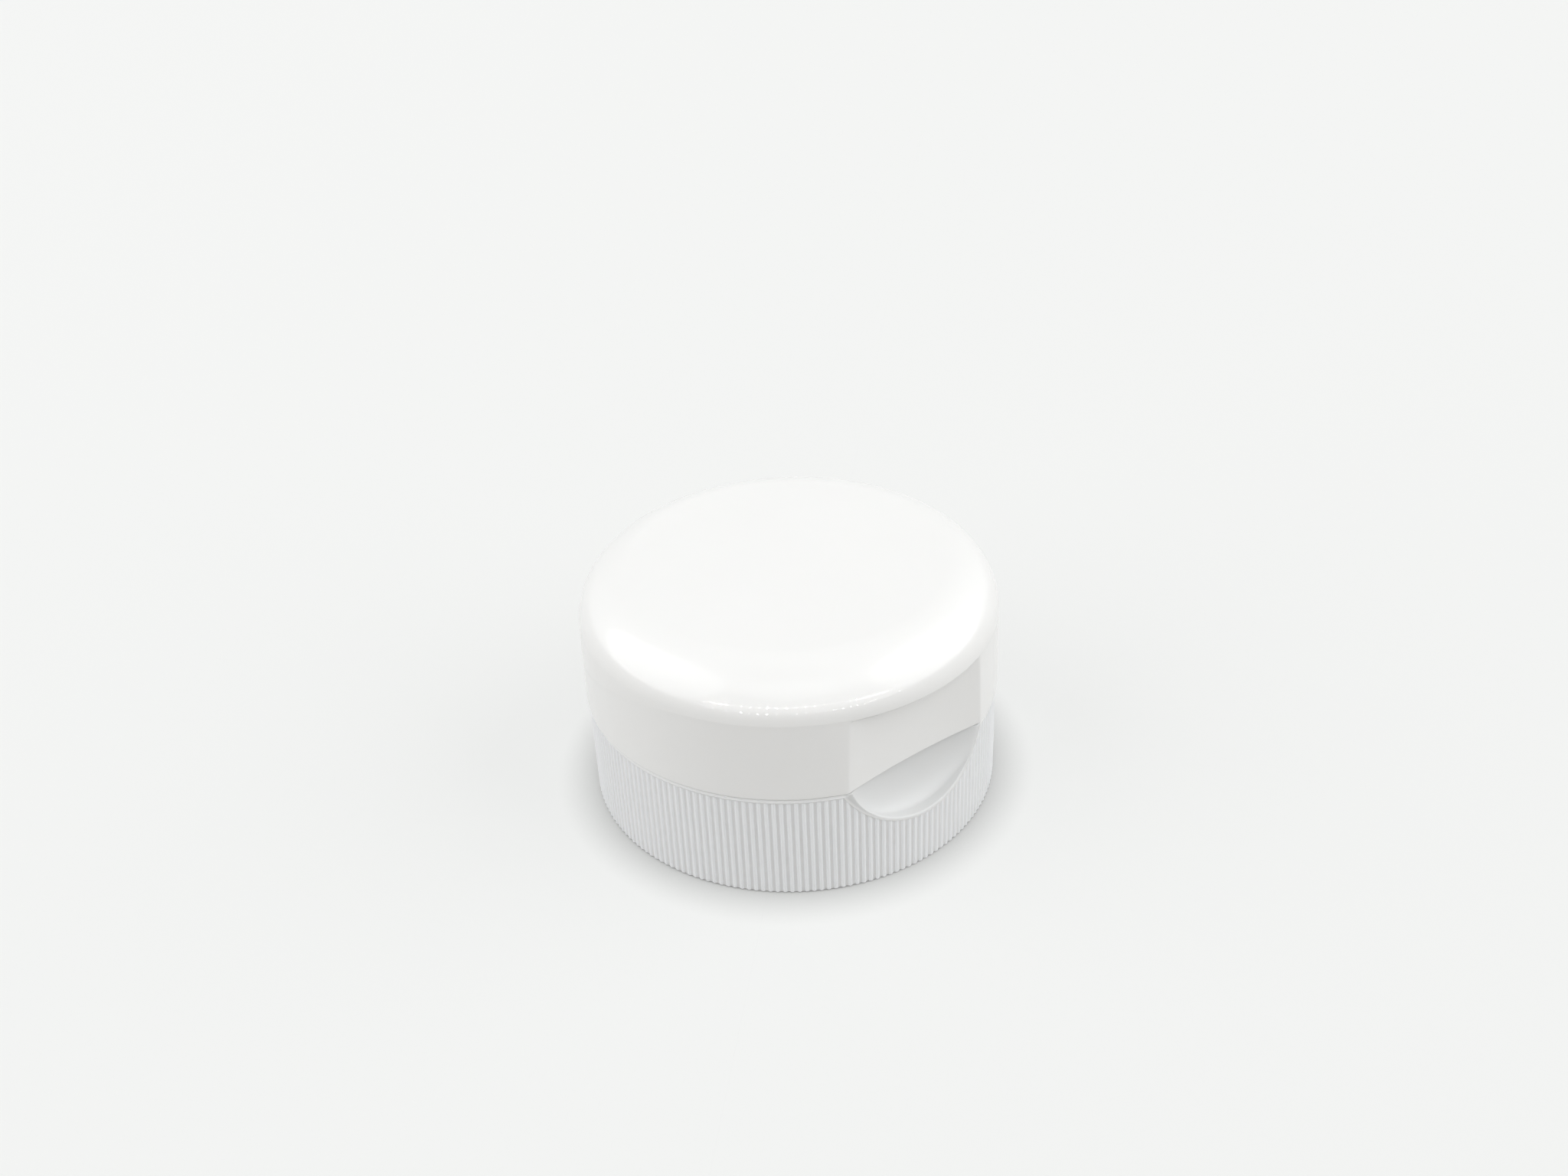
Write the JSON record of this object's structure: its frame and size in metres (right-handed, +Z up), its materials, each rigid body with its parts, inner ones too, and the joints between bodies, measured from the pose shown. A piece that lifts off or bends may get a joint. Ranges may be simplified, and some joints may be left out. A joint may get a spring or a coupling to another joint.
{
  "type": "flip top cap",
  "caption": "Round screw-on dispensing closure with a ribbed skirt, a rounded snap-hinged lid with a thumb recess, and a central spout under it.",
  "frame": {"origin": "centre of the base's bottom rim, on the surface it stands on", "axes": "+Z up along the closure's axis, towards the lid's flat top; -Y towards the thumb recess, +Y towards the hinge"},
  "size_m": [0.0419, 0.0418, 0.0244],
  "materials": {
    "base_plastic": "moulded white polypropylene, satin ribs",
    "lid_plastic": "moulded white polypropylene, polished cavity",
    "hinge_plastic": "thin flexed white polypropylene"
  },
  "bodies": {
    "base": {"base": "base_plastic", "snap_hinge": "hinge_plastic"},
    "lid": {"lid": "lid_plastic"}
  },
  "joints": [
    {"name": "lid_hinge", "type": "hinge", "parent": "base", "child": "lid", "pos_m": [0, 0.02046, 0.01136], "axis": [-1, 0, 0], "range_deg": [0, 135], "deforming": ["snap_hinge"]}
  ]
}
